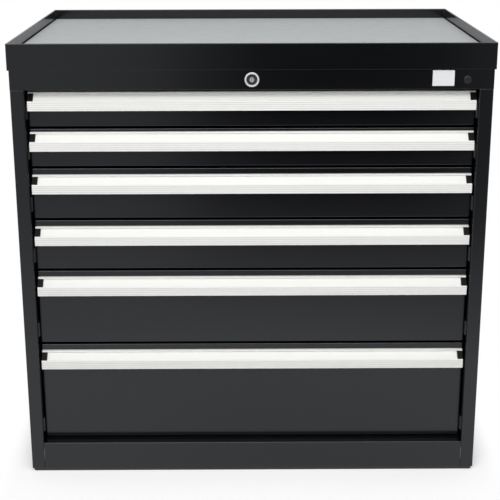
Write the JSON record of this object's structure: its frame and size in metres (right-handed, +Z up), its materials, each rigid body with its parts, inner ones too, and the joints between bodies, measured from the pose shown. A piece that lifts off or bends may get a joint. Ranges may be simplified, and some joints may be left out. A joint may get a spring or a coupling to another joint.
{
  "type": "tool cabinet",
  "caption": "Free-standing steel workshop tool cabinet with full-width aluminium drawer handles, telescopic slides, a central lock and a rimmed worktop with a mat.",
  "frame": {"origin": "on the floor, under the middle of the worktop", "axes": "+X to the user's right when facing the drawers, +Y to the back, +Z up"},
  "size_m": [0.88, 0.588, 0.844],
  "materials": {
    "black_coat": "satin black powder coat",
    "anodised_aluminium": "satin silver anodised",
    "zinc_steel": "bright zinc plated",
    "mat_grey": "matte light grey sheet",
    "black_plastic": "moulded matte black",
    "label_white": "plain white strip",
    "lock_chrome": "bright nickel plated"
  },
  "bodies": {
    "cabinet": {"left_side_panel": "black_coat", "right_side_panel": "black_coat", "back_panel": "black_coat", "base_pan": "black_coat", "base_frame": "black_coat", "plinth_panel": "black_coat", "top_front_rail": "black_coat", "top_back_rail": "black_coat", "worktop_tray": "black_coat", "slotted_uprights": "black_coat", "cabinet_channels": "zinc_steel", "lock_bar_guides": "zinc_steel", "worktop_mat": "mat_grey", "lock_housing": "lock_chrome", "hole_plug": "black_plastic"},
    "lock_cylinder": {"lock_plug": "lock_chrome", "lock_cam": "zinc_steel"},
    "lock_bar": {"lock_bar": "zinc_steel"},
    "drawer_1": {"drawer_1_tray": "black_coat", "drawer_1_front": "black_coat", "drawer_1_handle": "anodised_aluminium", "drawer_1_handle_caps": "black_plastic", "drawer_1_label": "label_white", "drawer_1_runners": "zinc_steel"},
    "drawer_1_middle": {"drawer_1_middle_runners": "zinc_steel"},
    "drawer_2": {"drawer_2_tray": "black_coat", "drawer_2_front": "black_coat", "drawer_2_handle": "anodised_aluminium", "drawer_2_handle_caps": "black_plastic", "drawer_2_label": "label_white", "drawer_2_runners": "zinc_steel"},
    "drawer_2_middle": {"drawer_2_middle_runners": "zinc_steel"},
    "drawer_3": {"drawer_3_tray": "black_coat", "drawer_3_front": "black_coat", "drawer_3_handle": "anodised_aluminium", "drawer_3_handle_caps": "black_plastic", "drawer_3_label": "label_white", "drawer_3_runners": "zinc_steel"},
    "drawer_3_middle": {"drawer_3_middle_runners": "zinc_steel"},
    "drawer_4": {"drawer_4_tray": "black_coat", "drawer_4_front": "black_coat", "drawer_4_handle": "anodised_aluminium", "drawer_4_handle_caps": "black_plastic", "drawer_4_label": "label_white", "drawer_4_runners": "zinc_steel"},
    "drawer_4_middle": {"drawer_4_middle_runners": "zinc_steel"},
    "drawer_5": {"drawer_5_tray": "black_coat", "drawer_5_front": "black_coat", "drawer_5_handle": "anodised_aluminium", "drawer_5_handle_caps": "black_plastic", "drawer_5_label": "label_white", "drawer_5_runners": "zinc_steel"},
    "drawer_5_middle": {"drawer_5_middle_runners": "zinc_steel"},
    "drawer_6": {"drawer_6_tray": "black_coat", "drawer_6_front": "black_coat", "drawer_6_handle": "anodised_aluminium", "drawer_6_handle_caps": "black_plastic", "drawer_6_label": "label_white", "drawer_6_runners": "zinc_steel"},
    "drawer_6_middle": {"drawer_6_middle_runners": "zinc_steel"}
  },
  "joints": [
    {"name": "drawer_1_slide", "type": "slide", "parent": "cabinet", "child": "drawer_1", "axis": [0, -1, 0], "range_m": [0, 0.48]},
    {"name": "drawer_1_middle_slide", "type": "slide", "parent": "cabinet", "child": "drawer_1_middle", "axis": [0, -1, 0], "range_m": [0, 0.24]},
    {"name": "drawer_2_slide", "type": "slide", "parent": "cabinet", "child": "drawer_2", "axis": [0, -1, 0], "range_m": [0, 0.48]},
    {"name": "drawer_2_middle_slide", "type": "slide", "parent": "cabinet", "child": "drawer_2_middle", "axis": [0, -1, 0], "range_m": [0, 0.24]},
    {"name": "drawer_3_slide", "type": "slide", "parent": "cabinet", "child": "drawer_3", "axis": [0, -1, 0], "range_m": [0, 0.48]},
    {"name": "drawer_3_middle_slide", "type": "slide", "parent": "cabinet", "child": "drawer_3_middle", "axis": [0, -1, 0], "range_m": [0, 0.24]},
    {"name": "drawer_4_slide", "type": "slide", "parent": "cabinet", "child": "drawer_4", "axis": [0, -1, 0], "range_m": [0, 0.48]},
    {"name": "drawer_4_middle_slide", "type": "slide", "parent": "cabinet", "child": "drawer_4_middle", "axis": [0, -1, 0], "range_m": [0, 0.24]},
    {"name": "drawer_5_slide", "type": "slide", "parent": "cabinet", "child": "drawer_5", "axis": [0, -1, 0], "range_m": [0, 0.48]},
    {"name": "drawer_5_middle_slide", "type": "slide", "parent": "cabinet", "child": "drawer_5_middle", "axis": [0, -1, 0], "range_m": [0, 0.24]},
    {"name": "drawer_6_slide", "type": "slide", "parent": "cabinet", "child": "drawer_6", "axis": [0, -1, 0], "range_m": [0, 0.48]},
    {"name": "drawer_6_middle_slide", "type": "slide", "parent": "cabinet", "child": "drawer_6_middle", "axis": [0, -1, 0], "range_m": [0, 0.24]},
    {"name": "lock_turn", "type": "hinge", "parent": "cabinet", "child": "lock_cylinder", "pos_m": [0, -0.291, 0.7784], "axis": [0, -1, 0], "range_deg": [0, 90]},
    {"name": "lock_bar_lift", "type": "slide", "parent": "cabinet", "child": "lock_bar", "axis": [0, 0, 1], "range_m": [0, 0.012]}
  ],
  "couplings": [
    {"joint": "drawer_1_middle_slide", "follows": "drawer_1_slide", "ratio": 0.5},
    {"joint": "drawer_2_middle_slide", "follows": "drawer_2_slide", "ratio": 0.5},
    {"joint": "drawer_3_middle_slide", "follows": "drawer_3_slide", "ratio": 0.5},
    {"joint": "drawer_4_middle_slide", "follows": "drawer_4_slide", "ratio": 0.5},
    {"joint": "drawer_5_middle_slide", "follows": "drawer_5_slide", "ratio": 0.5},
    {"joint": "drawer_6_middle_slide", "follows": "drawer_6_slide", "ratio": 0.5},
    {"joint": "lock_turn", "follows": "lock_bar_lift", "rad_per_m": 130.89}
  ]
}
